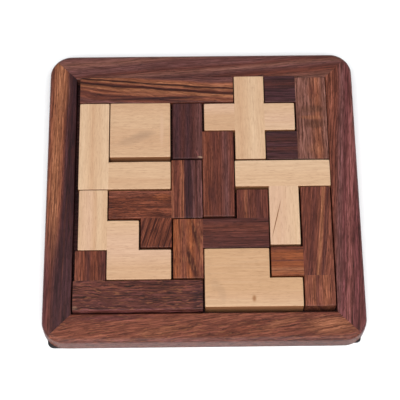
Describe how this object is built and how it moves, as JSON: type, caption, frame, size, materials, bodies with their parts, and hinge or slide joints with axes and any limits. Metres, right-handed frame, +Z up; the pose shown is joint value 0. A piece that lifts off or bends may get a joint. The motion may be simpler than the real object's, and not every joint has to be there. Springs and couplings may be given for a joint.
{
  "type": "tray packing puzzle",
  "caption": "Square wooden tray with mitred rails, packed edge to edge with loose light and dark pieces of square cells that lift out",
  "frame": {"origin": "middle of the underside of the felt backing, where the tray rests on a table", "axes": "+Z points up out of the tray, +X points to the right rail and +Y points to the back rail"},
  "size_m": [0.1506, 0.1506, 0.0126],
  "materials": {
    "pale_wood": "satin",
    "dark_wood": "satin",
    "rail_wood": "satin",
    "panel_wood": "matte",
    "felt": "matte"
  },
  "bodies": {
    "tray": {"felt_backing": "felt", "base_panel": "panel_wood", "rail_front": "rail_wood", "rail_right": "rail_wood", "rail_back": "rail_wood", "rail_left": "rail_wood"},
    "i_piece": {"i_piece_strip": "dark_wood"},
    "v_piece": {"v_piece_long_strip": "pale_wood", "v_piece_short_strip": "pale_wood"},
    "o_piece": {"o_piece_block": "pale_wood"},
    "n_piece": {"n_piece_far_strip": "dark_wood", "n_piece_near_strip": "dark_wood"},
    "f_piece": {"f_piece_back_strip": "dark_wood", "f_piece_cross_strip": "dark_wood", "f_piece_front_block": "dark_wood"},
    "z_piece": {"z_piece_far_block": "dark_wood", "z_piece_middle_strip": "dark_wood", "z_piece_near_strip": "dark_wood"},
    "x_piece": {"x_piece_left_block": "pale_wood", "x_piece_long_strip": "pale_wood", "x_piece_right_block": "pale_wood"},
    "u_piece": {"u_piece_far_block": "dark_wood", "u_piece_long_strip": "dark_wood", "u_piece_near_block": "dark_wood"},
    "t_piece": {"t_piece_bar": "pale_wood", "t_piece_stem": "pale_wood"},
    "y_piece": {"y_piece_end_block": "dark_wood", "y_piece_long_strip": "dark_wood", "y_piece_side_block": "dark_wood"},
    "p_piece": {"p_piece_long_strip": "pale_wood", "p_piece_short_strip": "pale_wood"},
    "w_piece": {"w_piece_far_strip": "pale_wood", "w_piece_middle_block": "pale_wood", "w_piece_near_strip": "pale_wood"},
    "l_piece": {"l_piece_end_block": "dark_wood", "l_piece_long_strip": "dark_wood"}
  },
  "joints": [
    {"name": "i_piece_lift", "type": "slide", "parent": "tray", "child": "i_piece", "axis": [0, 0, 1], "range_m": [0, 0.03]},
    {"name": "v_piece_lift", "type": "slide", "parent": "tray", "child": "v_piece", "axis": [0, 0, 1], "range_m": [0, 0.03]},
    {"name": "o_piece_lift", "type": "slide", "parent": "tray", "child": "o_piece", "axis": [0, 0, 1], "range_m": [0, 0.03]},
    {"name": "n_piece_lift", "type": "slide", "parent": "tray", "child": "n_piece", "axis": [0, 0, 1], "range_m": [0, 0.03]},
    {"name": "f_piece_lift", "type": "slide", "parent": "tray", "child": "f_piece", "axis": [0, 0, 1], "range_m": [0, 0.03]},
    {"name": "z_piece_lift", "type": "slide", "parent": "tray", "child": "z_piece", "axis": [0, 0, 1], "range_m": [0, 0.03]},
    {"name": "x_piece_lift", "type": "slide", "parent": "tray", "child": "x_piece", "axis": [0, 0, 1], "range_m": [0, 0.03]},
    {"name": "u_piece_lift", "type": "slide", "parent": "tray", "child": "u_piece", "axis": [0, 0, 1], "range_m": [0, 0.03]},
    {"name": "t_piece_lift", "type": "slide", "parent": "tray", "child": "t_piece", "axis": [0, 0, 1], "range_m": [0, 0.03]},
    {"name": "y_piece_lift", "type": "slide", "parent": "tray", "child": "y_piece", "axis": [0, 0, 1], "range_m": [0, 0.03]},
    {"name": "p_piece_lift", "type": "slide", "parent": "tray", "child": "p_piece", "axis": [0, 0, 1], "range_m": [0, 0.03]},
    {"name": "w_piece_lift", "type": "slide", "parent": "tray", "child": "w_piece", "axis": [0, 0, 1], "range_m": [0, 0.03]},
    {"name": "l_piece_lift", "type": "slide", "parent": "tray", "child": "l_piece", "axis": [0, 0, 1], "range_m": [0, 0.03]}
  ]
}
